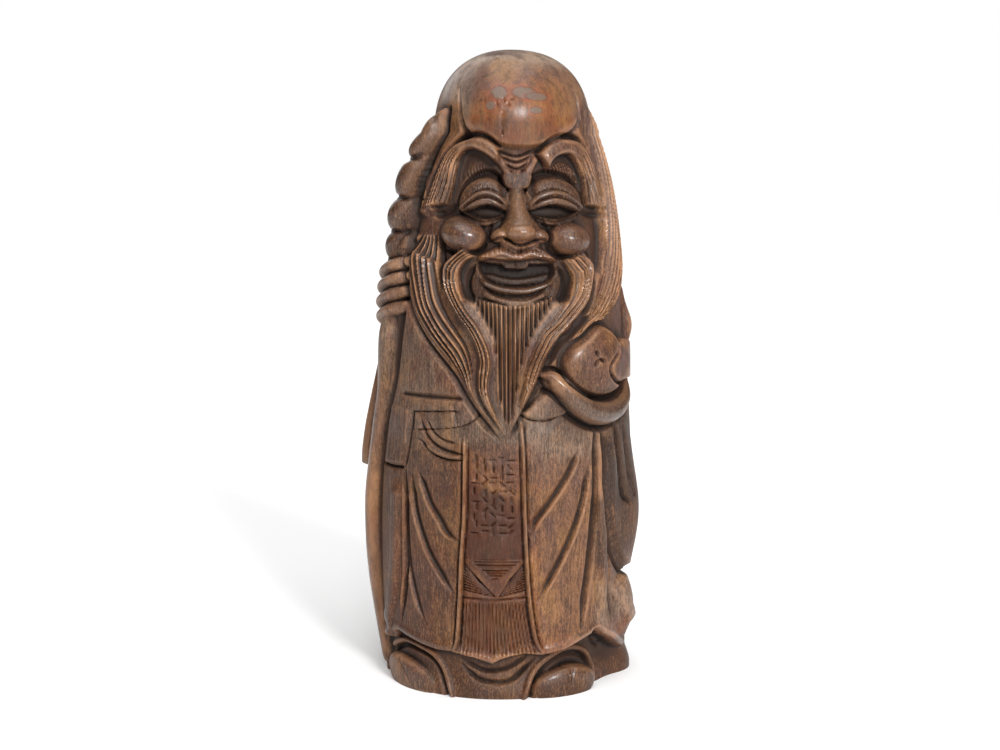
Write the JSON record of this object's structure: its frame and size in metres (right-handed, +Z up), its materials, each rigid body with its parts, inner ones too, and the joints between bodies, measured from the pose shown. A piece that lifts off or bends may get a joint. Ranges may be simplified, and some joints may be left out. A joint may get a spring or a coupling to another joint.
{
  "type": "shou lao figure",
  "caption": "Carved bamboo root figure of a laughing bald old man with a long beard, holding a knotted staff and a peach, in a full robe.",
  "frame": {"origin": "centre of the figure's bounding box, on the surface it stands on", "axes": "+Z up the figure, -Y out of its face, +X towards the hand that holds the peach"},
  "size_m": [0.1182, 0.094, 0.26],
  "materials": {
    "aged_bamboo_root": "aged reddish brown, hand polished, dark in the cuts"
  },
  "bodies": {
    "root": {"shou_lao_figure": "aged_bamboo_root"}
  },
  "joints": []
}
